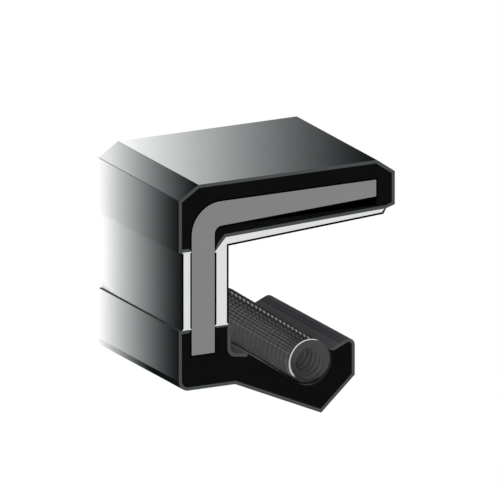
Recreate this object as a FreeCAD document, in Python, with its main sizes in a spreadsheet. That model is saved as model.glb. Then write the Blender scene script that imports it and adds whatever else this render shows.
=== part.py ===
import FreeCAD, Part
import math
import os
import Sketcher

# A short piece sawn from the ring of a radial shaft seal, as a section sample.
# Origin: on the outer seat, at mid width and midway between the two saw cuts.
# +X runs along the shaft's axis, from the air side to the oil side.
# +Y runs along the ring, and the two saw cuts are square to it.
# +Z runs radially outwards, into the housing.
# Inside each piece a setback is measured along +X from the air-side face,
# and a depth is measured from the outer seat towards the shaft.

Vector = FreeCAD.Vector

# The garter spring's wire is a polygon with this many sides.
WIRE_SIDES = 6

# The sizes that are set by hand, in millimetres and degrees.
DRIVING_SIZES = [
    # the whole seal
    ("shaft_diameter", 200.0),
    ("section_height", 15.0),
    ("seal_width", 15.0),
    ("slice_length", 11.0),
    # the outer cover of rubber
    ("cover_thickness", 1.26),
    ("air_chamfer_width", 1.35),
    ("air_chamfer_depth", 0.88),
    ("oil_chamfer_width", 1.24),
    ("oil_chamfer_depth", 0.87),
    ("skirt_depth", 4.24),
    ("rim_depth", 3.19),
    ("rim_edge_width", 0.6),
    ("rim_edge_depth", 0.18),
    ("cover_draft", 2.2),
    ("corner_fill_width", 0.78),
    ("corner_fill_depth", 0.86),
    # the pressed steel case
    ("case_inset", 0.9),
    ("case_thickness", 1.59),
    ("flange_end_cover", 1.3),
    ("flange_tip_thickness", 1.07),
    ("bend_radius", 2.0),
    ("bend_inner_radius", 0.5),
    ("leg_embed", 1.68),
    # the light facing on the air side and the light liner on the oil side
    ("facing_recess", 0.23),
    ("liner_thickness", 0.97),
    ("liner_root_thickness", 0.57),
    ("liner_tip_thickness", 0.34),
    ("liner_tip_bevel", 0.2),
    # the sealing lip of rubber
    ("waist_height", 5.75),
    ("wall_ledge", 0.13),
    ("membrane_height", 3.88),
    ("membrane_shelf", 1.8),
    ("membrane_slope", 8.0),
    ("wall_foot_radius", 0.4),
    ("heel_clearance", 1.85),
    ("heel_radius", 0.55),
    ("lip_interference", 0.76),
    ("lip_setback", 9.88),
    ("lip_air_angle", 23.6),
    ("lip_oil_angle", 42.6),
    ("head_width", 2.34),
    ("head_radius", 0.45),
    ("rim_slope", 24.0),
    ("mouth_angle", 23.0),
    # the garter spring
    ("spring_diameter", 2.9),
    ("wire_diameter", 0.52),
    ("turn_gap", 0.03),
    ("spring_offset", 0.8),
    ("spring_height", 3.4),
    ("spring_clearance", 0.06),
    ("spring_overhang", 1.3),
    # how far each saw cut reaches past the section
    ("saw_room", 1.0),
]

# The sizes that follow from them.
DERIVED_SIZES = [
    ("housing_radius", "=shaft_diameter / 2 + section_height"),
    ("lip_depth", "=section_height + lip_interference"),
    # steel case
    ("leg_oil_face", "=case_inset + case_thickness"),
    ("flange_end", "=seal_width - flange_end_cover"),
    ("flange_tip_depth", "=cover_thickness + flange_tip_thickness"),
    ("flange_root_depth", "=cover_thickness + case_thickness"),
    ("waist_depth", "=section_height - waist_height"),
    ("leg_depth", "=waist_depth + leg_embed"),
    # cover and liner
    ("oil_chamfer_start", "=seal_width - oil_chamfer_width"),
    ("rim_end_depth", "=rim_depth - rim_edge_depth"),
    ("rim_start", "=seal_width - rim_edge_width"),
    ("liner_face", "=leg_oil_face + liner_thickness"),
    ("fill_end", "=leg_oil_face + corner_fill_width"),
    ("fill_end_depth", "=rim_depth + (rim_start - fill_end) * tan(cover_draft)"),
    ("fill_root_depth", "=fill_end_depth + corner_fill_depth"),
    ("liner_corner_depth", "=fill_end_depth + liner_root_thickness"),
    ("liner_tip", "=rim_start - liner_tip_bevel"),
    ("liner_tip_depth", "=rim_depth + liner_tip_thickness"),
    # membrane and spring groove
    ("lip_wall", "=liner_face + wall_ledge"),
    ("membrane_depth", "=section_height - membrane_height"),
    ("shelf_end", "=lip_wall + membrane_shelf"),
    ("shelf_depth", "=membrane_depth + membrane_shelf * tan(membrane_slope)"),
    ("groove_radius", "=spring_diameter / 2 + spring_clearance"),
    ("spring_setback", "=lip_setback - spring_offset"),
    ("spring_depth", "=lip_depth - spring_height"),
    ("flank_rise", "=spring_depth - shelf_depth"),
    ("flank_run", "=spring_setback - shelf_end"),
    ("flank_angle", "=atan(flank_rise / flank_run)"
                    " + asin(groove_radius / hypot(flank_rise; flank_run))"),
    ("flank_end", "=spring_setback - groove_radius * sin(flank_angle)"),
    ("flank_end_depth", "=spring_depth + groove_radius * cos(flank_angle)"),
    ("mouth_start", "=spring_setback + groove_radius * cos(mouth_angle)"),
    ("mouth_depth", "=spring_depth - groove_radius * sin(mouth_angle)"),
    # lip head
    ("head_face", "=lip_setback + head_width"),
    ("head_top_depth", "=mouth_depth - (head_face - mouth_start) * tan(rim_slope)"),
    ("head_foot_depth", "=lip_depth - head_width * tan(lip_oil_angle)"),
    ("heel_depth", "=section_height - heel_clearance"),
    ("heel_end", "=lip_setback - (lip_depth - heel_depth) / tan(lip_air_angle)"),
    # saw cuts
    ("half_slice", "=slice_length / 2"),
    ("ring_sweep", "=2 * asin((half_slice + saw_room) / (housing_radius - lip_depth))"),
    ("saw_edge", "=housing_radius * sin(ring_sweep / 2) + saw_room"),
    ("saw_bottom", "=lip_depth + saw_room"),
]


def size_sheet(doc):
    """The spreadsheet of sizes, one row to a size, with the size's name as its alias."""
    sheet = doc.addObject("Spreadsheet::Sheet", "sizes")
    for row, (name, value) in enumerate(DRIVING_SIZES + DERIVED_SIZES, start=1):
        sheet.set(f"A{row}", name)
        sheet.set(f"B{row}", str(value))
        sheet.setAlias(f"B{row}", name)
    doc.recompute()
    return sheet


def read(sheet, name):
    """The number in the cell of that name, negated where the name starts with a minus."""
    if name == "0":
        return 0.0
    cell = sheet.get(name.lstrip("-"))
    number = float(getattr(cell, "Value", cell))
    return -number if name.startswith("-") else number


def bound(name):
    """The expression that ties a size to the cell of that name."""
    return name.replace("-", "-sizes.") if name.startswith("-") else "sizes." + name


def new_sketch(body, name, plane):
    """An empty sketch on one of the body's own origin planes."""
    sketch = body.newObject("Sketcher::SketchObject", name)
    origin_plane = [item for item in body.Origin.OriginFeatures if item.Role == plane][0]
    sketch.AttachmentSupport = [(origin_plane, "")]
    sketch.MapMode = "FlatFace"
    return sketch


def pin_point(sheet, sketch, geometry, point, place):
    """Ties a point of the sketch to its two named coordinates."""
    across, up = place
    if across == "0":
        sketch.addConstraint(Sketcher.Constraint("PointOnObject", geometry, point, -2))
    else:
        number = sketch.addConstraint(Sketcher.Constraint(
            "DistanceX", -1, 1, geometry, point, read(sheet, across)))
        sketch.setExpression(f"Constraints[{number}]", bound(across))
    if up == "0":
        sketch.addConstraint(Sketcher.Constraint("PointOnObject", geometry, point, -1))
    else:
        number = sketch.addConstraint(Sketcher.Constraint(
            "DistanceY", -1, 1, geometry, point, read(sheet, up)))
        sketch.setExpression(f"Constraints[{number}]", bound(up))


def add_arc(sheet, sketch, centre, start, end, radius):
    """An arc of named radius from start to end, the short way round, with the numbers
    of its own ends at start and at end."""
    first = math.atan2(start.y - centre.y, start.x - centre.x)
    turn = math.atan2(end.y - centre.y, end.x - centre.x) - first
    turn = math.remainder(turn, 2 * math.pi)
    circle = Part.Circle(centre, Vector(0, 0, 1), read(sheet, radius))
    if turn > 0:
        arc = sketch.addGeometry(Part.ArcOfCircle(circle, first, first + turn))
        ends = (1, 2)
    else:
        arc = sketch.addGeometry(Part.ArcOfCircle(circle, first + turn, first))
        ends = (2, 1)
    number = sketch.addConstraint(Sketcher.Constraint("Radius", arc, read(sheet, radius)))
    sketch.setExpression(f"Constraints[{number}]", bound(radius))
    return arc, ends


def draw_outline(sheet, sketch, corners):
    """A closed outline of straight runs through corners.

    A corner is its two named coordinates, with its named radius where it is rounded."""
    places = [Vector(read(sheet, corner[0]), read(sheet, corner[1]), 0) for corner in corners]
    radii = {index: corner[2] for index, corner in enumerate(corners) if len(corner) == 3}
    count = len(places)
    arrive, leave = list(places), list(places)
    for index, radius in radii.items():
        corner = places[index]
        back = (places[index - 1] - corner).normalize()
        ahead = (places[(index + 1) % count] - corner).normalize()
        reach = read(sheet, radius) / math.tan(back.getAngle(ahead) / 2)
        arrive[index] = corner + back * reach
        leave[index] = corner + ahead * reach
    runs = [sketch.addGeometry(Part.LineSegment(leave[index], arrive[(index + 1) % count]))
            for index in range(count)]
    for index in range(count):
        before, after = runs[index - 1], runs[index]
        if index not in radii:
            sketch.addConstraint(Sketcher.Constraint("Coincident", before, 2, after, 1))
            pin_point(sheet, sketch, after, 1, corners[index])
            continue
        radius = radii[index]
        corner = places[index]
        inward = ((arrive[index] - corner) + (leave[index] - corner)).normalize()
        half_angle = (arrive[index] - corner).getAngle(inward)
        centre = corner + inward * (read(sheet, radius) / math.sin(half_angle))
        arc, ends = add_arc(sheet, sketch, centre, arrive[index], leave[index], radius)
        sketch.addConstraint(Sketcher.Constraint("Tangent", before, 2, arc, ends[0]))
        sketch.addConstraint(Sketcher.Constraint("Tangent", after, 1, arc, ends[1]))
        mark = sketch.addGeometry(Part.Point(corner), True)
        sketch.addConstraint(Sketcher.Constraint("PointOnObject", mark, 1, before))
        sketch.addConstraint(Sketcher.Constraint("PointOnObject", mark, 1, after))
        pin_point(sheet, sketch, mark, 1, corners[index][:2])
    return runs


def round_out(sheet, sketch, runs, index, centre, radius):
    """Puts a named arc in place of the outline's run of that number."""
    run = sketch.Geometry[runs[index]]
    middle = Vector(read(sheet, centre[0]), read(sheet, centre[1]), 0)
    arc, ends = add_arc(sheet, sketch, middle, run.StartPoint, run.EndPoint, radius)
    sketch.addConstraint(Sketcher.Constraint("Coincident", runs[index], 1, arc, ends[0]))
    sketch.addConstraint(Sketcher.Constraint("Coincident", runs[index], 2, arc, ends[1]))
    sketch.setConstruction(runs[index], True)


def ring_body(doc, sheet, label, corners):
    """A body whose section is drawn in its XZ plane, with the section's sketch."""
    body = doc.addObject("PartDesign::Body", label)
    body.Label = label
    body.setExpression("Placement.Base.x", "-sizes.seal_width / 2")
    sketch = new_sketch(body, label + "_section", "XZ_Plane")
    runs = draw_outline(sheet, sketch, corners)
    return body, sketch, runs


def turn_ring(sheet, body, sketch):
    """Turns the section about the shaft's axis and saws the piece to length."""
    depth = -read(sheet, "housing_radius")
    axis = sketch.addGeometry(Part.LineSegment(
        Vector(0, depth, 0), Vector(read(sheet, "seal_width"), depth, 0)), True)
    pin_point(sheet, sketch, axis, 1, ("0", "-housing_radius"))
    pin_point(sheet, sketch, axis, 2, ("seal_width", "-housing_radius"))
    ring = body.newObject("PartDesign::Revolution", body.Name + "_ring")
    ring.Profile = sketch
    lines = [item for item in range(len(sketch.Geometry))
             if sketch.getConstruction(item) and isinstance(sketch.Geometry[item], Part.LineSegment)]
    ring.ReferenceAxis = (sketch, [f"Axis{lines.index(axis)}"])
    ring.Midplane = True
    ring.setExpression("Angle", "sizes.ring_sweep")
    saw = new_sketch(body, body.Name + "_saw_cuts", "YZ_Plane")
    for inner, outer in (("half_slice", "saw_edge"), ("-half_slice", "-saw_edge")):
        draw_outline(sheet, saw, [(inner, "saw_room"), (outer, "saw_room"),
                                  (outer, "-saw_bottom"), (inner, "-saw_bottom")])
    cuts = body.newObject("PartDesign::Pocket", body.Name + "_sawn")
    cuts.Profile = saw
    cuts.Type = "ThroughAll"
    cuts.Midplane = True
    body.Tip = cuts
    return body


def outer_cover(doc, sheet):
    """Rubber moulded round the case's flange, with a skirt down its air-side corner."""
    corners = [
        ("0", "-air_chamfer_depth"),
        ("air_chamfer_width", "0"),
        ("oil_chamfer_start", "0"),
        ("seal_width", "-oil_chamfer_depth"),
        ("seal_width", "-rim_end_depth"),
        ("rim_start", "-rim_depth"),
        ("fill_end", "-fill_end_depth"),
        ("leg_oil_face", "-fill_root_depth"),
        ("leg_oil_face", "-flange_root_depth", "bend_inner_radius"),
        ("flange_end", "-flange_tip_depth"),
        ("flange_end", "-cover_thickness"),
        ("case_inset", "-cover_thickness", "bend_radius"),
        ("case_inset", "-skirt_depth"),
        ("0", "-skirt_depth"),
    ]
    body, sketch, _ = ring_body(doc, sheet, "outer_cover", corners)
    return turn_ring(sheet, body, sketch)


def steel_case(doc, sheet):
    """The pressed ring of L section, its flange ironed thinner towards the oil side."""
    corners = [
        ("case_inset", "-leg_depth"),
        ("case_inset", "-cover_thickness", "bend_radius"),
        ("flange_end", "-cover_thickness"),
        ("flange_end", "-flange_tip_depth"),
        ("leg_oil_face", "-flange_root_depth", "bend_inner_radius"),
        ("leg_oil_face", "-leg_depth"),
    ]
    body, sketch, _ = ring_body(doc, sheet, "steel_case", corners)
    return turn_ring(sheet, body, sketch)


def case_facing(doc, sheet):
    """The light layer on the case's air-side face, set back between cover and lip."""
    corners = [
        ("facing_recess", "-skirt_depth"),
        ("case_inset", "-skirt_depth"),
        ("case_inset", "-waist_depth"),
        ("facing_recess", "-waist_depth"),
    ]
    body, sketch, _ = ring_body(doc, sheet, "case_facing", corners)
    return turn_ring(sheet, body, sketch)


def inner_liner(doc, sheet):
    """The light layer that lines the oil side, along the leg and under the cover."""
    corners = [
        ("leg_oil_face", "-waist_depth"),
        ("leg_oil_face", "-fill_root_depth"),
        ("fill_end", "-fill_end_depth"),
        ("rim_start", "-rim_depth"),
        ("liner_tip", "-liner_tip_depth"),
        ("liner_face", "-liner_corner_depth"),
        ("liner_face", "-waist_depth"),
    ]
    body, sketch, _ = ring_body(doc, sheet, "inner_liner", corners)
    return turn_ring(sheet, body, sketch)


def sealing_lip(doc, sheet):
    """Rubber foot round the leg's end, membrane, spring groove and the lip's two cones."""
    corners = [
        ("0", "-waist_depth"),
        ("case_inset", "-waist_depth"),
        ("case_inset", "-leg_depth"),
        ("leg_oil_face", "-leg_depth"),
        ("leg_oil_face", "-waist_depth"),
        ("lip_wall", "-waist_depth"),
        ("lip_wall", "-membrane_depth", "wall_foot_radius"),
        ("shelf_end", "-shelf_depth"),
        ("flank_end", "-flank_end_depth"),
        ("mouth_start", "-mouth_depth"),
        ("head_face", "-head_top_depth", "head_radius"),
        ("head_face", "-head_foot_depth"),
        ("lip_setback", "-lip_depth"),
        ("heel_end", "-heel_depth"),
        ("0", "-heel_depth", "heel_radius"),
    ]
    body, sketch, runs = ring_body(doc, sheet, "sealing_lip", corners)
    groove_run = corners.index(("flank_end", "-flank_end_depth"))
    round_out(sheet, sketch, runs, groove_run, ("spring_setback", "-spring_depth"), "groove_radius")
    return turn_ring(sheet, body, sketch)


def garter_spring(doc, sheet):
    """The close-wound coil in the lip's groove, flush at the near saw cut (-Y) and
    running on past the far one.

    Each half turn is an arc from the coil's shaft side to its housing side or back.
    All arcs leave the coil's middle plane at right angles, so they join smoothly
    while the coil follows the ring."""
    along_shaft = Vector(1, 0, 0)
    wire = read(sheet, "wire_diameter")
    coil_radius = (read(sheet, "spring_diameter") - wire) / 2
    pitch = wire + read(sheet, "turn_gap")
    near_end = -read(sheet, "half_slice")
    far_end = read(sheet, "half_slice") + read(sheet, "spring_overhang")
    shaft_axis = Vector(read(sheet, "spring_setback"), 0, -read(sheet, "housing_radius"))
    ring_radius = read(sheet, "housing_radius") - read(sheet, "spring_depth")
    half_turns = 4 * math.ceil((far_end + 2 * wire) / pitch)
    half_turn_angle = pitch / 2 / ring_radius

    def crossing(index):
        """Where the wire crosses the coil's middle plane, by the number of half turns."""
        angle = (index - half_turns / 2) * half_turn_angle
        reach = ring_radius + (coil_radius if index % 2 == 0 else -coil_radius)
        return shaft_axis + Vector(0, reach * math.sin(angle), reach * math.cos(angle))

    spokes = [2 * math.pi * side / WIRE_SIDES for side in range(WIRE_SIDES + 1)]
    outline = Part.makePolygon([
        crossing(0) + Vector(0, math.sin(spoke), math.cos(spoke)) * (wire / 2) for spoke in spokes])
    skin = [Part.Face(outline)]
    for index in range(half_turns):
        start, end = crossing(index), crossing(index + 1)
        middle = (start + end) / 2
        axis = (end - start).cross(along_shaft).normalize()
        angle = 180 if index % 2 == 0 else -180
        for edge in outline.Edges:
            skin.extend(edge.revolve(middle, axis, angle).Faces)
        outline = outline.copy()
        outline.rotate(middle, axis, angle)
    skin.append(Part.Face(outline))
    shell = Part.Shell(skin)
    shell.sewShape()
    coil = Part.makeSolid(shell)
    if coil.Volume < 0:
        coil.reverse()
    room = read(sheet, "spring_diameter")
    between_ends = Part.makeBox(2 * room, far_end - near_end, 2 * room, Vector(
        shaft_axis.x - room, near_end, -read(sheet, "spring_depth") - room))
    spring = doc.addObject("Part::Feature", "garter_spring")
    spring.Label = "garter_spring"
    spring.Shape = coil.common(between_ends).Solids[0]
    spring.Placement = FreeCAD.Placement(
        Vector(-read(sheet, "seal_width") / 2, 0, 0), FreeCAD.Rotation())
    return spring


def check_and_export(doc, pieces):
    """Stops on any object that failed, then writes one STEP file to a piece."""
    for item in doc.Objects:
        if "Invalid" in item.State or "Error" in item.State:
            raise RuntimeError(f"{item.Name} failed to recompute: {item.State}")
    for piece in pieces:
        if piece.Shape.isNull() or not piece.Shape.isValid() or len(piece.Shape.Solids) != 1:
            raise RuntimeError(f"{piece.Label} is not one sound solid")
    os.makedirs("parts", exist_ok=True)
    for piece in pieces:
        piece.Shape.exportStep(os.path.join("parts", piece.Label + ".step"))


def main():
    doc = FreeCAD.newDocument("shaft_seal_section")
    sheet = size_sheet(doc)
    pieces = [
        outer_cover(doc, sheet),
        steel_case(doc, sheet),
        case_facing(doc, sheet),
        inner_liner(doc, sheet),
        sealing_lip(doc, sheet),
        garter_spring(doc, sheet),
    ]
    doc.recompute()
    check_and_export(doc, pieces)
    for piece in pieces:
        box = piece.Shape.optimalBoundingBox()
        print(f"{piece.Label}: {piece.Shape.Volume:.2f} mm3,"
              f" x {box.XMin:.2f} to {box.XMax:.2f},"
              f" y {box.YMin:.2f} to {box.YMax:.2f},"
              f" z {box.ZMin:.2f} to {box.ZMax:.2f}")


main()
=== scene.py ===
import math
import bmesh
import bpy
from mathutils import Matrix, Vector
from mathutils.bvhtree import BVHTree


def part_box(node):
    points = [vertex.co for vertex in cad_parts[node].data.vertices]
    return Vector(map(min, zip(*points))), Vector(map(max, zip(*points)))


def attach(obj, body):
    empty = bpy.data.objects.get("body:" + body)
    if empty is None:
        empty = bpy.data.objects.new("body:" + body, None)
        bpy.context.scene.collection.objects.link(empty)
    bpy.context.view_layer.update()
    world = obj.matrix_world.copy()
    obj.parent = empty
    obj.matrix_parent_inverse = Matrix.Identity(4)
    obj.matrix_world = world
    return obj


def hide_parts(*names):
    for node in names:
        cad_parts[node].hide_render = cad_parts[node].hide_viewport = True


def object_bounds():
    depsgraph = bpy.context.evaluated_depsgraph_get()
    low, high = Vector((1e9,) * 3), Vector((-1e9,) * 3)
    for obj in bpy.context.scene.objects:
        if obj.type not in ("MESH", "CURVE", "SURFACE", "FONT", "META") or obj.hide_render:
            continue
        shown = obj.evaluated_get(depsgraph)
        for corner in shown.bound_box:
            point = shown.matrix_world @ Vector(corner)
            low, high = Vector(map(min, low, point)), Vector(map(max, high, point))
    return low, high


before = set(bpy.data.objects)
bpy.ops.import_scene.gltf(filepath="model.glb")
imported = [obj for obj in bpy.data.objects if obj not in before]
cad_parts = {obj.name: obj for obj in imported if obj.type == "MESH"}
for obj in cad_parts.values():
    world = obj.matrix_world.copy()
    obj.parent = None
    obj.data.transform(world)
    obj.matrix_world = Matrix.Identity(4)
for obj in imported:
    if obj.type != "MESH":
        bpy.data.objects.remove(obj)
cad_low, cad_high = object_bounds()

# Sizes in metres, along the shaft (+X), along the ring (+Y) and outwards (+Z).
MM = 0.001
HOUSING_RADIUS = 115 * MM
AIR_FACE = cad_low.x
NEAR_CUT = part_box("outer_cover")[0].y

# What the saw shows round a part: the rim of moulding skin, the line of bonding agent
# against the steel, and the dark line that edges a light layer.
RIM_WIDTH = 0.21 * MM
BOND_WIDTH = 0.115 * MM
FACING_LINE_WIDTH = 0.105 * MM
LINER_LINE_WIDTH = 0.13 * MM
CORNER_LINE_WIDTH = 0.03 * MM

# How near points have to be to be one, or to touch, and how little a flat face may bend.
MERGE_DISTANCE = 0.0005 * MM
CONTACT_DISTANCE = 0.015 * MM
FLAT_ANGLE = math.radians(1)
SMOOTH_ANGLE = math.radians(30)
WIRE_SMOOTH_ANGLE = math.radians(50)

# How much of a normal lies along an axis: on a flat face, on the seat, on a chamfer, on
# the heel's rounding, on a ledge, and on the overhang of the spring's seat.
FLAT_SHARE = 0.999
SEAT_SHARE = 0.99
CHAMFER_SHARE = 0.3
HEEL_SHARE = 0.05
LEDGE_SHARE = 0.9
OVERHANG_SHARE = -0.6

# The rounding of the lip's heel: its size on the solid, how far its points reach, how
# much fuller it is drawn, and how far from the air side its skin and the side's skin go.
HEEL_ROUNDING = 0.55 * MM
HEEL_REACH = 1.02 * HEEL_ROUNDING
HEEL_FULLNESS = 1.2
HEEL_SKIN_SETBACK = 1 * MM
SIDE_SKIN_SETBACK = 0.1 * MM

# Where the slope into the spring's seat starts on the solid, as a setback, how closely
# and above what level its points are looked for, and how much nearer to the air side and
# further outwards it is drawn.
SEAT_CORNER = 5.39 * MM
SEAT_CORNER_WITHIN = 0.02 * MM
SEAT_CORNER_ABOVE = -12 * MM
SEAT_CORNER_MOVE = Vector((-0.59 * MM, 0, 0.083 * MM))

# The lip's ledge under the liner and its spring seat, as setbacks from the air-side face.
LEDGE = (2.6 * MM, 3.59 * MM)
SPRING_SEAT = (5.42 * MM, 10.7 * MM)

# The garter spring, which rises from its seat by a share of its length.
SPRING_SETBACK = 9.08 * MM
SPRING_DEPTH = 12.36 * MM
SPRING_RADIUS = 1.45 * MM
SPRING_LIFT = 0.0203
WIRE_RADIUS = 0.26 * MM
WIRE_SIDES = 12
TURN_PITCH = 0.55 * MM
TURN_STEPS = 36

# The camera: its turn to the air side, its height, and the picture's scale.
CAMERA_TURN = math.radians(26.88)
CAMERA_RISE = math.radians(15.97)
PICTURE_PIXELS = 500
PIXELS_PER_MM = 16.152
CAMERA_TARGET = Vector((AIR_FACE + 4.942 * MM, NEAR_CUT, -4.792 * MM))
CAMERA_DISTANCE = 200 * MM
CAMERA_CLIP = (1 * MM, 10.0)

# The floor, a wide disc well below the piece.
FLOOR_DROP = 30 * MM
FLOOR_RADIUS = 1.0
FLOOR_SIDES = 64

# The curve between a tone on screen and its light.
FULL_TONE = 255
CURVE_LIFT = 0.055
CURVE_POWER = 2.4
CURVE_SLOPE = 12.92
CURVE_JOINT = 0.04045

# The cool cast of the rubber in tones, the shares of it that red and blue get, and its
# fading between two tones from whole to a quarter.
COOL_CAST = 4.0
RED_SHARE = -0.7
BLUE_SHARE = 0.3
CAST_FADE = (120, 250, 1.0, 0.25)

# The values between which nearly all of a noise lies.
NOISE_SPAN = (0.3, 0.7)

# The shares along the shaft and along the ring by which the seat's painted sheen grows.
PAINTED_SHEEN_ALONG_SHAFT = 0.89194
PAINTED_SHEEN_ALONG_RING = 0.45214

# Plain tones as they show on screen, from 0 to 255.
SAWN_RUBBER_TONE = 15.2
WEDGE_SHADOW_TONE = 0.0
BOND_TONE = 4.0
SKIN_RIM_TONE = 76.5
HIDDEN_SKIN_TONE = 59.0
STEEL_TONES = (126.0, 130.0)
LAYER_TONE = 221.0

# The tones of the thin darker lines on the chamfer's corners, as shares of the chamfer's painted
# sheen.
CHAMFER_TOP_SHARE = 0.85
CHAMFER_FOOT_SHARE = 0.62

# The black wedge painted beside the flange's taper as the flange's shadow on the sawn face:
# the depths and the setbacks in millimetres over which it starts and ends.
WEDGE_TOP = (2.10, 2.12)
WEDGE_FOOT = (2.87, 2.89)
WEDGE_START = (2.5, 2.6)
WEDGE_END = (13.70, 13.72)

# Tones as they show on screen, against a place in millimetres. The side, heel, seat and
# chamfer tables are a painted sheen, from near black at the near cut to white at the far end.
# The lip's table is its dark grey, painted lighter where the spring and its walls shade it,
# with two darker bands painted across its head's rounding as shade.
SIDE_TONES = [(0.0, 22), (0.38, 31), (1.2, 47), (3.94, 104), (6.68, 158), (8.05, 186),
              (9.15, 211), (10.24, 239), (11.06, 255)]
HEEL_TONES = [(0.0, 19), (3.88, 19), (11.34, 255)]
SEAT_TONES = [(-4.0, 255), (-3.02, 243), (-2.4, 231), (-1.16, 211), (0.32, 189), (1.31, 175),
              (3.79, 141), (6.27, 107), (8.74, 74), (9.98, 56), (11.22, 35), (12.09, 21),
              (13.0, 18)]
CHAMFER_TONES = [(-5.4, 255), (-4.14, 218), (-3.64, 199), (-3.02, 176), (-1.78, 130), (-0.55, 87),
                 (0.32, 54), (1.13, 20)]
LIP_TONES = [(4.75, 70), (5.6, 106), (9.0, 106), (9.5, 75), (11.15, 75), (11.24, 56),
             (11.31, 68), (11.42, 68), (11.49, 58), (11.56, 71), (12.3, 71)]

# How much lighter the facing is painted where the skirt and the lip's foot shade it, to make
# up for that shade, in percent, against the depth in millimetres.
FACING_PERCENT = [(4.24, 109), (4.34, 109), (4.4, 107), (4.47, 105), (4.53, 104), (4.7, 102.5),
                  (5.2, 101.5), (8.6, 101.5), (8.9, 104), (8.96, 106), (9.02, 108), (9.09, 111),
                  (9.15, 117), (9.22, 128), (9.25, 130)]

# Tones round the spring, against degrees from its oil side by way of its outer side: painted
# shading, painted lighter towards the seat to make up for its shade, with narrow painted
# glints along the crown.
CROWN_TONES = [(81, 48), (84.6, 205), (88.5, 50), (101.9, 62), (103.7, 124), (105.5, 64),
               (112.4, 68), (114.2, 124), (116, 74), (120.7, 79), (122.5, 142), (124.3, 82),
               (128.2, 82), (130, 153), (131.8, 86), (137.2, 94), (139, 156), (140.8, 98),
               (145.2, 103), (147, 147), (148.8, 108), (154.2, 113), (156, 181), (157.8, 122),
               (170, 138), (182, 156), (194, 181), (204, 212), (212, 254), (229, 255), (238, 150),
               (252, 60)]

# How much lighter or darker the spring is painted to make up for its seat's shade, in percent,
# against millimetres behind the near cut, and the painted tones of its bore, lighter to make
# up for its shade, by the same.
SHADED_PERCENT = [(0.2, 71), (0.9, 75), (1.8, 86), (3.2, 94), (5.0, 102), (8.0, 104),
                  (10.5, 100), (11.6, 62)]
BORE_TONES = [(0.1, 86), (0.6, 112), (1.5, 148), (2.3, 180), (3.0, 225), (4.5, 225),
              (7.0, 110)]

# Here and below, turns are in degrees as in CROWN_TONES, and lengths in millimetres.
# The turns over which the seat's shade starts to tell, and its share before and after.
SHADE_TURNS = (96.0, 112.0)
SHADE_SHARES = (0.4, 1.0)

# The radii over which the bore gives way to the crown. A slant, made of shares across
# and outwards, grades the bore's tones and those of the wire's sawn end as painted shade,
# lighter to the upper right and darker to the lower left.
BORE_EDGE = (1.05, 1.25)
SLANT_ACROSS = 0.51
SLANT_OUTWARDS = 0.86
SLANT_SPAN = (-1.1, 0.0)
BORE_SHARES = (0.68, 1.0)
WIRE_CUT_TONES = (48.0, 69.0)
WIRE_CUT_DEPTH = (0.005, 0.01)

# The lower turns at which the open near end gets more light than the rest, how far that
# goes behind the cut, and the shares by which the wire is painted darker for it.
OPEN_START = (202.0, 216.0)
OPEN_END = (236.0, 248.0)
OPEN_DEPTH = (0.08, 0.34)
OPEN_SHARES = (0.28, 1.0)

# The painted highlight along the outer rim of the near end, on its upper left side: its tone,
# its width and depth, and its first and last turns. The turn at which the wire's middle lies
# on the near cut places it.
RIM_GLINT_TONE = 215.0
RIM_GLINT_WIDTH = (0.055, 0.075)
RIM_GLINT_DEPTH = (0.03, 0.05)
RIM_GLINT_START = (60.0, 76.0)
RIM_GLINT_END = (212.0, 224.0)
WIRE_ON_CUT_TURN = 90.0
FULL_TURN = 360.0

WHITE = (1.0, 1.0, 1.0, 1.0)


# Node helpers


class Nodes:
    """Adds nodes to a tree and links what is given to their inputs."""

    def __init__(self, tree):
        self.tree = tree

    def add(self, kind, inputs=None, **settings):
        node = self.tree.nodes.new(kind)
        for name, value in settings.items():
            setattr(node, name, value)
        for key, value in (inputs or {}).items():
            self.feed(node.inputs[key], value)
        return node

    def feed(self, socket, value):
        if isinstance(value, bpy.types.NodeSocket):
            self.tree.links.new(value, socket)
        else:
            socket.default_value = value

    def maths(self, operation, *values, clamp=False):
        node = self.add("ShaderNodeMath", dict(enumerate(values)), operation=operation,
                        use_clamp=clamp)
        return node.outputs[0]

    def ramp(self, value, low, high, to_low=0.0, to_high=1.0):
        node = self.add("ShaderNodeMapRange", {
            "Value": value, "From Min": low, "From Max": high,
            "To Min": to_low, "To Max": to_high})
        return node.outputs["Result"]

    def mix(self, share, first, second):
        node = self.add("ShaderNodeMix", {"Factor": share, "A": first, "B": second})
        return node.outputs["Result"]

    def tones(self, value, stops):
        """The tone that belongs to a value, by a table of stops with straight runs between."""
        low, high = stops[0][0], stops[-1][0]
        node = self.add("ShaderNodeValToRGB", {"Fac": self.ramp(value, low, high)})
        shades = node.color_ramp.elements
        for place, _ in stops[1:-1]:
            shades.new((place - low) / (high - low))
        for shade, (_, tone) in zip(shades, stops):
            share = tone / FULL_TONE
            shade.color = (share, share, share, 1.0)
        return self.maths("MULTIPLY", node.outputs["Color"], FULL_TONE)


def new_group(name, inputs, outputs):
    """An empty shader group; inputs are (name, kind, value) and outputs (name, kind)."""
    group = bpy.data.node_groups.new(name, "ShaderNodeTree")
    for label, kind, value in inputs:
        socket = group.interface.new_socket(label, in_out="INPUT", socket_type=kind)
        socket.default_value = value
    for label, kind in outputs:
        group.interface.new_socket(label, in_out="OUTPUT", socket_type=kind)
    nodes = Nodes(group)
    return group, nodes, nodes.add("NodeGroupInput").outputs, nodes.add("NodeGroupOutput").inputs


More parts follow.
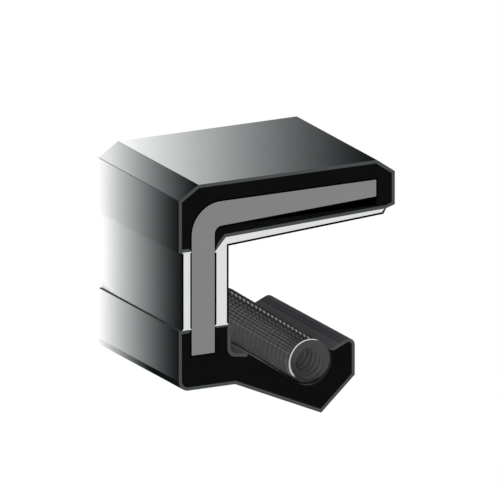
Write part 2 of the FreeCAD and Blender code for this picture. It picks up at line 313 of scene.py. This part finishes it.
def make_section_group():
    """Where a point lies in the sawn section, in millimetres from the air-side face,
    inwards from the outer seat, and behind the near cut."""
    group, nodes, _, out = new_group("section_place", [], [
        ("Setback", "NodeSocketFloat"), ("Depth", "NodeSocketFloat"), ("Behind", "NodeSocketFloat"),
        ("Place", "NodeSocketVector")])
    place = nodes.add("ShaderNodeTexCoord").outputs["Object"]
    apart = nodes.add("ShaderNodeSeparateXYZ", {"Vector": place}).outputs
    setback = nodes.maths("MULTIPLY", nodes.maths("SUBTRACT", apart["X"], AIR_FACE), 1 / MM)
    height = nodes.maths("ADD", apart["Z"], HOUSING_RADIUS)
    squares = nodes.maths("ADD", nodes.maths("MULTIPLY", height, height), NEAR_CUT ** 2)
    radius = nodes.maths("SQRT", squares)
    depth = nodes.maths("MULTIPLY", nodes.maths("SUBTRACT", HOUSING_RADIUS, radius), 1 / MM)
    behind = nodes.maths("MULTIPLY", nodes.maths("SUBTRACT", apart["Y"], NEAR_CUT), 1 / MM)
    nodes.feed(out["Setback"], setback)
    nodes.feed(out["Depth"], depth)
    nodes.feed(out["Behind"], behind)
    whole = nodes.add("ShaderNodeCombineXYZ", {"X": setback, "Y": behind, "Z": depth})
    nodes.feed(out["Place"], whole.outputs[0])
    return group


def make_tone_group():
    """Turns a tone, as it shows on screen from 0 to 255, into a grey that is as cool as
    asked in its dark and middle tones and less so in its pale ones. Green is the share of
    the cast that green gets."""
    group, nodes, given, out = new_group(
        "tone_to_grey",
        [("Tone", "NodeSocketFloat", 128.0), ("Cool", "NodeSocketFloat", COOL_CAST),
         ("Green", "NodeSocketFloat", BLUE_SHARE)],
        [("Colour", "NodeSocketColor")])
    cast = nodes.maths("MULTIPLY", given["Cool"], nodes.ramp(given["Tone"], *CAST_FADE))

    def light(share_of_cast):
        tone = nodes.maths("MULTIPLY_ADD", cast, share_of_cast, given["Tone"])
        share = nodes.maths("DIVIDE", tone, FULL_TONE, clamp=True)
        lifted = nodes.maths("DIVIDE", nodes.maths("ADD", share, CURVE_LIFT), 1 + CURVE_LIFT)
        curve = nodes.maths("POWER", lifted, CURVE_POWER)
        slope = nodes.maths("DIVIDE", share, CURVE_SLOPE)
        is_dark = nodes.maths("LESS_THAN", share, CURVE_JOINT)
        return nodes.mix(is_dark, curve, slope)

    grey = nodes.add("ShaderNodeCombineColor", {
        "Red": light(RED_SHARE), "Green": light(given["Green"]), "Blue": light(BLUE_SHARE)})
    nodes.feed(out["Colour"], grey.outputs[0])
    return group


def make_mottle_group():
    """Soft patches and fine grain, as a number of tones either side of none."""
    group, nodes, given, out = new_group(
        "mottle",
        [("Place", "NodeSocketVector", (0.0, 0.0, 0.0)), ("Patches", "NodeSocketFloat", 1.0),
         ("Grain", "NodeSocketFloat", 1.0)],
        [("Tones", "NodeSocketFloat"), ("Height", "NodeSocketFloat")])
    patch = nodes.add("ShaderNodeTexNoise", {
        "Vector": given["Place"], "Scale": 0.7, "Detail": 3.0, "Roughness": 0.55})
    grain = nodes.add("ShaderNodeTexNoise", {
        "Vector": given["Place"], "Scale": 9.0, "Detail": 4.0, "Roughness": 0.7})
    patches = nodes.maths("MULTIPLY", nodes.ramp(patch.outputs[0], *NOISE_SPAN, -1, 1),
                          given["Patches"])
    grains = nodes.maths("MULTIPLY", nodes.ramp(grain.outputs[0], *NOISE_SPAN, -1, 1),
                         given["Grain"])
    nodes.feed(out["Tones"], nodes.maths("ADD", patches, grains))
    nodes.feed(out["Height"], grain.outputs[0])
    return group


def make_saw_mark_group():
    """Fine parallel marks that a saw leaves across a cut face."""
    group, nodes, given, out = new_group(
        "saw_marks",
        [("Place", "NodeSocketVector", (0.0, 0.0, 0.0)),
         ("Across", "NodeSocketVector", (0.4, 0.0, 9.0))],
        [("Height", "NodeSocketFloat")])
    stretched = nodes.add("ShaderNodeVectorMath", {0: given["Place"], 1: given["Across"]},
                          operation="MULTIPLY")
    marks = nodes.add("ShaderNodeTexNoise", {
        "Vector": stretched.outputs[0], "Scale": 1.6, "Detail": 5.0, "Roughness": 0.65})
    nodes.feed(out["Height"], marks.outputs[0])
    return group


GROUPS = {
    "section": make_section_group(),
    "tone": make_tone_group(),
    "mottle": make_mottle_group(),
    "saw": make_saw_mark_group(),
}


class Finish:
    """A material under way: its shader, and the groups that its look is made with."""

    def __init__(self, name, roughness, specular):
        self.material = bpy.data.materials.new(name)
        self.material.use_nodes = True
        self.nodes = Nodes(self.material.node_tree)
        self.shader = self.material.node_tree.nodes["Principled BSDF"]
        self.shader.inputs["Roughness"].default_value = roughness
        self.shader.inputs["Specular IOR Level"].default_value = specular
        section = self.group("section").outputs
        self.setback = section["Setback"]
        self.depth = section["Depth"]
        self.behind = section["Behind"]
        self.place = section["Place"]

    def group(self, key, inputs=None):
        node = self.nodes.add("ShaderNodeGroup", node_tree=GROUPS[key])
        for name, value in (inputs or {}).items():
            self.nodes.feed(node.inputs[name], value)
        return node

    def painted_sheen_reach(self):
        """How far a point of the seat lies from where its painted sheen is palest."""
        back = self.nodes.maths("MULTIPLY", self.behind, PAINTED_SHEEN_ALONG_RING)
        along = self.nodes.maths("MULTIPLY", self.setback, PAINTED_SHEEN_ALONG_SHAFT)
        return self.nodes.maths("SUBTRACT", along, back)

    def paint(self, tone, cool=COOL_CAST, green=BLUE_SHARE):
        grey = self.group("tone", {"Tone": tone, "Cool": cool, "Green": green})
        self.nodes.feed(self.shader.inputs["Base Color"], grey.outputs["Colour"])
        return self

    def bump(self, height, strength, distance):
        bump = self.nodes.add("ShaderNodeBump", {
            "Height": height, "Strength": strength, "Distance": distance})
        self.nodes.feed(self.shader.inputs["Normal"], bump.outputs[0])
        return self

    def vary(self, tone, patches, grain):
        """The tone with patches and grain over it, and the grain's height."""
        mottle = self.group("mottle", {"Place": self.place, "Patches": patches, "Grain": grain})
        return self.nodes.maths("ADD", tone, mottle.outputs["Tones"]), mottle.outputs["Height"]


# Materials


def sawn_rubber():
    """The matt black of a sawn face, quite black in the painted shadow beside the flange's taper.
    """
    finish = Finish("sawn_rubber", roughness=0.85, specular=0.0)
    nodes = finish.nodes
    in_depth = nodes.maths("MULTIPLY", nodes.ramp(finish.depth, *WEDGE_FOOT, 1, 0),
                           nodes.ramp(finish.depth, *WEDGE_TOP))
    before_end = nodes.ramp(finish.setback, *WEDGE_END, 1, 0)
    past_bend = nodes.ramp(finish.setback, *WEDGE_START)
    # The wedge of painted shadow beside the flange's taper.
    wedge_shadow = nodes.maths("MULTIPLY", nodes.maths("MULTIPLY", in_depth, before_end), past_bend)
    plain = nodes.ramp(wedge_shadow, 0, 1, SAWN_RUBBER_TONE, WEDGE_SHADOW_TONE)
    tone, _ = finish.vary(plain, patches=0.6, grain=0.8)
    marks = finish.group("saw", {"Place": finish.place})
    finish.paint(tone, cool=0.0)
    return finish.bump(marks.outputs["Height"], strength=0.25, distance=0.03 * MM).material


def skin_rim():
    """The grey edge of the moulding skin where the saw went through it."""
    finish = Finish("skin_rim", roughness=0.6, specular=0.0)
    tone, height = finish.vary(SKIN_RIM_TONE, patches=0.8, grain=1.2)
    finish.paint(tone, cool=5.0, green=0.05)
    return finish.bump(height, strength=0.1, distance=0.01 * MM).material


def sheen_painted_skin(name, sheen_tone):
    """Moulded rubber with a painted pale sheen, whose tone the given function works out for the
    finish.
    """
    finish = Finish(name, roughness=0.6, specular=0.0)
    tone, height = finish.vary(sheen_tone(finish), patches=0.8, grain=1.0)
    return finish.paint(tone).bump(height, strength=0.12, distance=0.02 * MM).material


def side_skin(name, tones):
    """The skin of the air side, with a painted sheen that grows paler along the ring."""
    return sheen_painted_skin(name, lambda finish: finish.nodes.tones(finish.behind, tones))


def seat_skin(name, tones):
    """The skin of the seat, with a painted sheen that grows paler towards its far air-side corner.
    """
    return sheen_painted_skin(name, lambda finish: finish.nodes.tones(finish.painted_sheen_reach(), tones))


def facing_sheen_tone(finish):
    """The painted sheen of the facing's air side: the rubber's beside it, painted lighter by the
    facing's percent where its neighbours shade it.
    """
    nodes = finish.nodes
    percent = nodes.tones(finish.depth, FACING_PERCENT)
    return nodes.maths("MULTIPLY", nodes.tones(finish.behind, SIDE_TONES),
                       nodes.maths("DIVIDE", percent, 100.0))


def corner_line(name, share):
    """A thin darker line on a moulded corner of the chamfer, a share of the chamfer's painted
    sheen.
    """
    finish = Finish(name, roughness=0.7, specular=0.0)
    tone = finish.nodes.tones(finish.painted_sheen_reach(), CHAMFER_TONES)
    return finish.paint(finish.nodes.maths("MULTIPLY", tone, share)).material


def lip_skin():
    """Moulded rubber of the lip's outer side, painted lighter where the spring and the lip's walls
    shade it, with two darker bands painted across its head's rounding as shade.
    """
    finish = Finish("lip_skin", roughness=0.6, specular=0.0)
    plain = finish.nodes.tones(finish.setback, LIP_TONES)
    tone, height = finish.vary(plain, patches=0.8, grain=1.0)
    finish.paint(tone, cool=3.0, green=RED_SHARE)
    return finish.bump(height, strength=0.15, distance=0.02 * MM).material


def hidden_skin():
    """Moulded rubber without bloom."""
    finish = Finish("hidden_skin", roughness=0.5, specular=0.1)
    tone, height = finish.vary(HIDDEN_SKIN_TONE, patches=1.2, grain=1.2)
    return finish.paint(tone).bump(height, strength=0.15, distance=0.02 * MM).material


def bond_line():
    """The thin black line of bonding agent."""
    finish = Finish("bond_line", roughness=0.7, specular=0.0)
    tone, _ = finish.vary(BOND_TONE, patches=1.0, grain=1.0)
    return finish.paint(tone, cool=0.0).material


def sawn_steel():
    """Mid-grey steel with fine marks across it."""
    finish = Finish("sawn_steel", roughness=0.55, specular=0.1)
    marks = finish.group("saw", {"Place": finish.place}).outputs["Height"]
    streaks = finish.nodes.ramp(marks, *NOISE_SPAN, *STEEL_TONES)
    tone, _ = finish.vary(streaks, patches=0.8, grain=1.2)
    finish.paint(tone, cool=0.0)
    return finish.bump(marks, strength=0.2, distance=0.01 * MM).material


def light_layer():
    """The pale lining of the case."""
    finish = Finish("light_layer", roughness=0.6, specular=0.1)
    tone, height = finish.vary(LAYER_TONE, patches=1.2, grain=1.5)
    finish.paint(tone, cool=0.0)
    return finish.bump(height, strength=0.15, distance=0.01 * MM).material


def spring_wire():
    """Dark drawn wire, with painted glints along the coil's crown, painted shading round it and
    in its bore, and a painted highlight on the rim of its near end."""
    finish = Finish("spring_wire", roughness=0.5, specular=0.01)
    nodes = finish.nodes

    # Where a point lies round the coil's axis.
    across = nodes.maths("SUBTRACT", finish.setback, SPRING_SETBACK / MM)
    lift = nodes.maths("MULTIPLY", finish.behind, SPRING_LIFT)
    outwards = nodes.maths("SUBTRACT", SPRING_DEPTH / MM, nodes.maths("ADD", finish.depth, lift))
    squares = nodes.maths("ADD", nodes.maths("MULTIPLY", across, across),
                          nodes.maths("MULTIPLY", outwards, outwards))
    reach = nodes.maths("SQRT", squares)
    turn = nodes.maths("DEGREES", nodes.maths("ARCTAN2", outwards, across))
    turn = nodes.maths("FLOORED_MODULO", turn, FULL_TURN)
    slant = nodes.maths("ADD", nodes.maths("MULTIPLY", across, SLANT_ACROSS),
                        nodes.maths("MULTIPLY", outwards, SLANT_OUTWARDS))

    # The crown's painted shading and glints, painted lighter or darker to make up for the seat's
    # shade and for the open near end.
    shaded = nodes.mix(nodes.ramp(turn, *SHADE_TURNS, *SHADE_SHARES), 100.0,
                       nodes.tones(finish.behind, SHADED_PERCENT))
    crown = nodes.maths("MULTIPLY", nodes.tones(turn, CROWN_TONES),
                        nodes.maths("DIVIDE", shaded, 100.0))
    in_light = nodes.maths("MULTIPLY", nodes.ramp(turn, *OPEN_START),
                           nodes.ramp(turn, *OPEN_END, 1.0, 0.0))
    open_end = nodes.mix(in_light, 1.0, nodes.ramp(finish.behind, *OPEN_DEPTH, *OPEN_SHARES))
    crown = nodes.maths("MULTIPLY", crown, open_end)

    # The bore with its painted shading, the sawn end of the wire with its painted shade, and the
    # painted highlight on its rim.
    bore = nodes.maths("MULTIPLY", nodes.tones(finish.behind, BORE_TONES),
                       nodes.ramp(slant, *SLANT_SPAN, *BORE_SHARES))
    coil = nodes.mix(nodes.ramp(reach, *BORE_EDGE, 1.0, 0.0), crown, bore)
    on_cut = nodes.ramp(finish.behind, *WIRE_CUT_DEPTH, 1.0, 0.0)
    tone = nodes.mix(on_cut, coil, nodes.ramp(slant, *SLANT_SPAN, *WIRE_CUT_TONES))
    turned = nodes.maths("DIVIDE", nodes.maths("SUBTRACT", turn, WIRE_ON_CUT_TURN), FULL_TURN)
    offset = nodes.maths("MULTIPLY", turned, TURN_PITCH / MM)
    chord = nodes.maths("SUBTRACT", (WIRE_RADIUS / MM) ** 2,
                        nodes.maths("MULTIPLY", offset, offset))
    edge = nodes.maths("ADD", (SPRING_RADIUS - WIRE_RADIUS) / MM,
                       nodes.maths("SQRT", nodes.maths("MAXIMUM", chord, 0.0)))
    inset = nodes.maths("SUBTRACT", edge, reach)
    rim_glint = nodes.maths("MULTIPLY", nodes.ramp(inset, *RIM_GLINT_WIDTH, 1.0, 0.0),
                       nodes.ramp(finish.behind, *RIM_GLINT_DEPTH, 1.0, 0.0))
    rim_glint_run = nodes.maths("MULTIPLY", nodes.ramp(turn, *RIM_GLINT_START),
                           nodes.ramp(turn, *RIM_GLINT_END, 1.0, 0.0))
    tone = nodes.mix(nodes.maths("MULTIPLY", rim_glint, rim_glint_run), tone, RIM_GLINT_TONE)

    tone, height = finish.vary(tone, patches=0.8, grain=1.0)
    finish.paint(tone, cool=0.0)
    return finish.bump(height, strength=0.1, distance=0.01 * MM).material


MATERIALS = {
    "sawn_rubber": sawn_rubber(),
    "skin_rim": skin_rim(),
    "side_skin": side_skin("side_skin", SIDE_TONES),
    "heel_skin": side_skin("heel_skin", HEEL_TONES),
    "facing_skin": sheen_painted_skin("facing_skin", facing_sheen_tone),
    "seat_skin": seat_skin("seat_skin", SEAT_TONES),
    "chamfer_skin": seat_skin("chamfer_skin", CHAMFER_TONES),
    "chamfer_top_line": corner_line("chamfer_top_line", CHAMFER_TOP_SHARE),
    "chamfer_foot_line": corner_line("chamfer_foot_line", CHAMFER_FOOT_SHARE),
    "lip_skin": lip_skin(),
    "hidden_skin": hidden_skin(),
    "bond_line": bond_line(),
    "sawn_steel": sawn_steel(),
    "light_layer": light_layer(),
    "spring_wire": spring_wire(),
}


# Pieces


def height_on_cut(radius):
    """How high a point of that radius lies on the sawn faces."""
    return math.sqrt(radius ** 2 - NEAR_CUT ** 2) - HOUSING_RADIUS


def merged_copy(node):
    """The solid of a node as a mesh to work on, with each flat face made one.

    Its long edges are let run straight between the sawn faces, where the ring itself
    rises 0.13 mm."""
    bm = bmesh.new()
    bm.from_mesh(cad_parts[node].data)
    bmesh.ops.remove_doubles(bm, verts=bm.verts, dist=MERGE_DISTANCE)
    for vert in bm.verts:
        vert.co.z = height_on_cut(math.hypot(vert.co.y, vert.co.z + HOUSING_RADIUS))
    bmesh.ops.dissolve_limit(bm, angle_limit=FLAT_ANGLE, verts=bm.verts, edges=bm.edges)
    bm.normal_update()
    return bm


def surface_of(node):
    """The surface of a node, to measure distances to."""
    bm = merged_copy(node)
    surface = BVHTree.FromBMesh(bm)
    bm.free()
    return surface


SURFACES = {node: surface_of(node) for node in ("steel_case", "outer_cover", "sealing_lip")}


def meets(point, *nodes):
    """Whether a point lies on the surface of one of the nodes."""
    return any(SURFACES[node].find_nearest(point)[3] < CONTACT_DISTANCE for node in nodes)


def middle_of(edge):
    return (edge.verts[0].co + edge.verts[1].co) / 2


def sawn_faces(bm):
    """The two faces that the saw left."""
    return [face for face in bm.faces if abs(face.normal.y) > FLAT_SHARE]


def ring_sawn_face(bm, face, width):
    """Insets a sawn face, and gives each quad made, the edge along its outer side and
    the face beyond that edge."""
    ring = bmesh.ops.inset_region(bm, faces=[face], thickness=width, use_even_offset=True,
                                  use_boundary=True)["faces"]
    inside = set(ring) | {face}
    return [(quad, edge, beyond) for quad in ring for edge in quad.edges
            for beyond in edge.link_faces if beyond not in inside]


# What the outer and the inner ring of a sawn rubber face are made of, by what it meets.
RUBBER_RINGS = {
    "skin": ("skin_rim", "skin_rim"),
    "thin_skin": ("skin_rim", "sawn_rubber"),
    "steel": ("bond_line", "sawn_rubber"),
    "nothing": ("sawn_rubber", "sawn_rubber"),
}


def rim_rubber(bm, number, meeting):
    """Edges the sawn faces of a rubber piece with two rings, by what meeting says that
    each run of the outline meets."""
    for face in sawn_faces(bm):
        met = {}
        for quad, edge, wall in ring_sawn_face(bm, face, BOND_WIDTH):
            met[quad] = meeting(middle_of(edge), wall)
            quad.material_index = number[RUBBER_RINGS[met[quad]][0]]
        for quad, _, outer in ring_sawn_face(bm, face, RIM_WIDTH - BOND_WIDTH):
            quad.material_index = number[RUBBER_RINGS[met[outer]][1]]


def draw_corner(bm, number, first, second, line):
    """Gives the moulded corner between two skins a narrow bevel of the line's material."""
    pair = {number[first], number[second]}
    corner = [edge for edge in bm.edges
              if {face.material_index for face in edge.link_faces} == pair]
    made = bmesh.ops.bevel(bm, geom=corner, offset=CORNER_LINE_WIDTH, offset_type="OFFSET",
                           affect="EDGES", segments=1, profile=0.5, material=-1)
    for face in made["faces"]:
        face.material_index = number[line]


def finish_piece(name, bm, materials, node, smooth_angle=SMOOTH_ANGLE):
    """Makes the mesh an object that stands for the node."""
    mesh = bpy.data.meshes.new(name)
    bm.to_mesh(mesh)
    bm.free()
    for material in materials:
        mesh.materials.append(MATERIALS[material])
    for polygon in mesh.polygons:
        polygon.use_smooth = True
    mesh.set_sharp_from_angle(angle=smooth_angle)
    piece = bpy.data.objects.new(name, mesh)
    bpy.context.scene.collection.objects.link(piece)
    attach(piece, "root")
    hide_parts(node)


def numbered(materials):
    return {name: index for index, name in enumerate(materials)}


def make_cover():
    """The outer cover, its skins with painted sheen and its sawn faces rimmed."""
    materials = ["sawn_rubber", "skin_rim", "bond_line", "seat_skin", "chamfer_skin", "side_skin",
                 "hidden_skin", "chamfer_top_line", "chamfer_foot_line"]
    number = numbered(materials)
    bm = merged_copy("outer_cover")
    for face in bm.faces:
        if abs(face.normal.y) > FLAT_SHARE:
            face.material_index = number["sawn_rubber"]
        elif face.normal.x < -FLAT_SHARE:
            face.material_index = number["side_skin"]
        elif face.normal.z > SEAT_SHARE:
            face.material_index = number["seat_skin"]
        elif face.normal.z > CHAMFER_SHARE and face.normal.x < -CHAMFER_SHARE:
            face.material_index = number["chamfer_skin"]
        else:
            face.material_index = number["hidden_skin"]

    def meeting(point, _):
        return "steel" if meets(point, "steel_case") else "skin"

    rim_rubber(bm, number, meeting)
    draw_corner(bm, number, "seat_skin", "chamfer_skin", "chamfer_top_line")
    draw_corner(bm, number, "chamfer_skin", "side_skin", "chamfer_foot_line")
    finish_piece("outer_cover_rubber", bm, materials, "outer_cover")


def round_heel(bm):
    """Draws the rounding of the lip's heel fuller than it is on the solid."""
    foot = [vert for vert in bm.verts if vert.co.x - AIR_FACE < HEEL_REACH]
    corner = Vector((AIR_FACE, 0, min(vert.co.z for vert in foot)))
    rounding = [vert for vert in foot if vert.co.z - corner.z < HEEL_REACH]
    bmesh.ops.scale(bm, vec=(HEEL_FULLNESS, 1, HEEL_FULLNESS), space=Matrix.Translation(-corner),
                    verts=rounding)


def open_seat(bm):
    """Lets the slope into the spring's seat start nearer to the air side."""
    for vert in bm.verts:
        off_corner = abs(vert.co.x - AIR_FACE - SEAT_CORNER)
        if off_corner < SEAT_CORNER_WITHIN and vert.co.z > SEAT_CORNER_ABOVE:
            vert.co += SEAT_CORNER_MOVE


def make_lip():
    """The sealing lip, rimmed like the cover apart from the spring's seat."""
    materials = ["sawn_rubber", "skin_rim", "bond_line", "side_skin", "heel_skin", "lip_skin",
                 "hidden_skin"]
    number = numbered(materials)
    bm = merged_copy("sealing_lip")
    round_heel(bm)
    open_seat(bm)
    bm.normal_update()
    for face in bm.faces:
        setback = face.calc_center_median().x - AIR_FACE
        rounded = face.normal.x < -HEEL_SHARE and face.normal.z < 0
        if abs(face.normal.y) > FLAT_SHARE:
            face.material_index = number["sawn_rubber"]
        elif face.normal.x < -FLAT_SHARE and setback < SIDE_SKIN_SETBACK:
            face.material_index = number["side_skin"]
        elif rounded and setback < HEEL_SKIN_SETBACK:
            face.material_index = number["heel_skin"]
        elif face.normal.z > 0:
            face.material_index = number["lip_skin"]
        else:
            face.material_index = number["hidden_skin"]

    def meeting(point, wall):
        setback = point.x - AIR_FACE
        if meets(point, "steel_case"):
            return "steel"
        if SPRING_SEAT[0] < setback < SPRING_SEAT[1] and wall.normal.z > OVERHANG_SHARE:
            return "nothing"
        if LEDGE[0] < setback < LEDGE[1] and wall.normal.z > LEDGE_SHARE:
            return "thin_skin"
        return "skin"

    rim_rubber(bm, number, meeting)
    finish_piece("sealing_lip_rubber", bm, materials, "sealing_lip")


def make_case():
    """The steel case, plain on its sawn faces."""
    finish_piece("pressed_steel_case", merged_copy("steel_case"), ["sawn_steel"], "steel_case")


def make_layer(name, node, outer_skin, line_width):
    """A light layer, with a dark line on its sawn faces wherever it doesn't meet rubber."""
    materials = ["light_layer", "bond_line", outer_skin]
    plain, line, outer = range(len(materials))
    bm = merged_copy(node)
    for face in bm.faces:
        face.material_index = outer if face.normal.x < -FLAT_SHARE else plain
    for face in sawn_faces(bm):
        for quad, edge, _ in ring_sawn_face(bm, face, line_width):
            on_rubber = meets(middle_of(edge), "outer_cover", "sealing_lip")
            quad.material_index = plain if on_rubber else line
    finish_piece(name, bm, materials, node)


def make_spring():
    """The coil: a circle of wire turned round the coil's axis, laid in its seat and sawn."""
    near, far = (corner.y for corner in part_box("garter_spring"))
    coil_radius = SPRING_RADIUS - WIRE_RADIUS
    turns = 2 * math.ceil(far / TURN_PITCH + 1)
    height = height_on_cut(HOUSING_RADIUS - SPRING_DEPTH)
    centre = Vector((AIR_FACE + SPRING_SETBACK, -turns * TURN_PITCH / 2, height))
    start = centre + Vector((0, 0, coil_radius))
    bm = bmesh.new()
    turned = Matrix.Translation(start) @ Matrix.Rotation(math.pi / 2, 4, "Y")
    wire = bmesh.ops.create_circle(bm, cap_ends=False, radius=WIRE_RADIUS, segments=WIRE_SIDES,
                                   matrix=turned)["verts"]
    edges = list({edge for vert in wire for edge in vert.link_edges})
    step = Vector((0, TURN_PITCH / TURN_STEPS, 0))
    bmesh.ops.spin(bm, geom=wire + edges, cent=centre, axis=(0, -1, 0), dvec=step,
                   angle=2 * math.pi * turns, steps=TURN_STEPS * turns, use_merge=False,
                   use_duplicate=False)
    for vert in bm.verts:
        vert.co.z += SPRING_LIFT * (vert.co.y - near)
    for place, facing in ((near, -1), (far, 1)):
        cut = bmesh.ops.bisect_plane(
            bm, geom=bm.verts[:] + bm.edges[:] + bm.faces[:], plane_co=(0, place, 0),
            plane_no=(0, facing, 0), clear_outer=True)
        loop = [item for item in cut["geom_cut"] if isinstance(item, bmesh.types.BMEdge)]
        bmesh.ops.holes_fill(bm, edges=loop, sides=0)
    bmesh.ops.recalc_face_normals(bm, faces=bm.faces)
    finish_piece("garter_spring_coil", bm, ["spring_wire"], "garter_spring",
                 WIRE_SMOOTH_ANGLE)


make_cover()
make_lip()
make_case()
make_layer("case_facing_layer", "case_facing", "facing_skin",
           FACING_LINE_WIDTH)
make_layer("inner_liner_layer", "inner_liner", "light_layer", LINER_LINE_WIDTH)
make_spring()


# Stage, light and camera


def make_floor():
    """A plain white floor, well below the piece, which is held at its outer seat."""
    bm = bmesh.new()
    level = cad_low.z - FLOOR_DROP
    bmesh.ops.create_circle(bm, cap_ends=True, radius=FLOOR_RADIUS, segments=FLOOR_SIDES,
                            matrix=Matrix.Translation((0, 0, level)))
    mesh = bpy.data.meshes.new("floor")
    bm.to_mesh(mesh)
    bm.free()
    material = bpy.data.materials.new("floor_white")
    material.use_nodes = True
    shader = material.node_tree.nodes["Principled BSDF"]
    shader.inputs["Base Color"].default_value = WHITE
    shader.inputs["Roughness"].default_value = 1.0
    shader.inputs["Specular IOR Level"].default_value = 0.0
    mesh.materials.append(material)
    floor = bpy.data.objects.new("floor", mesh)
    bpy.context.scene.collection.objects.link(floor)


def make_world():
    """Even light from all round, and white for what looks past the piece."""
    world = bpy.data.worlds.new("studio")
    world.use_nodes = True
    background = world.node_tree.nodes["Background"]
    background.inputs["Color"].default_value = WHITE
    background.inputs["Strength"].default_value = 1.0
    bpy.context.scene.world = world


def make_lamp(name, place, power, size):
    """A soft square lamp that faces the piece."""
    data = bpy.data.lights.new(name, "AREA")
    data.energy = power
    data.size = size
    lamp = bpy.data.objects.new(name, data)
    lamp.location = place
    lamp.rotation_euler = Vector(place).to_track_quat("Z", "Y").to_euler()
    bpy.context.scene.collection.objects.link(lamp)


def make_camera():
    """A camera without perspective, as the picture is drawn."""
    towards = Vector((-math.sin(CAMERA_TURN) * math.cos(CAMERA_RISE),
                      -math.cos(CAMERA_TURN) * math.cos(CAMERA_RISE),
                      math.sin(CAMERA_RISE)))
    data = bpy.data.cameras.new("camera")
    data.type = "ORTHO"
    data.ortho_scale = PICTURE_PIXELS / PIXELS_PER_MM * MM
    data.clip_start, data.clip_end = CAMERA_CLIP
    camera = bpy.data.objects.new("camera", data)
    camera.location = CAMERA_TARGET + towards * CAMERA_DISTANCE
    camera.rotation_euler = towards.to_track_quat("Z", "Y").to_euler()
    bpy.context.scene.collection.objects.link(camera)
    bpy.context.scene.camera = camera


make_floor()
make_world()
make_lamp("upper_left_lamp", place=(-0.12, -0.05, 0.18), power=0.012, size=0.05)
make_camera()
bpy.context.scene.view_settings.view_transform = "Standard"
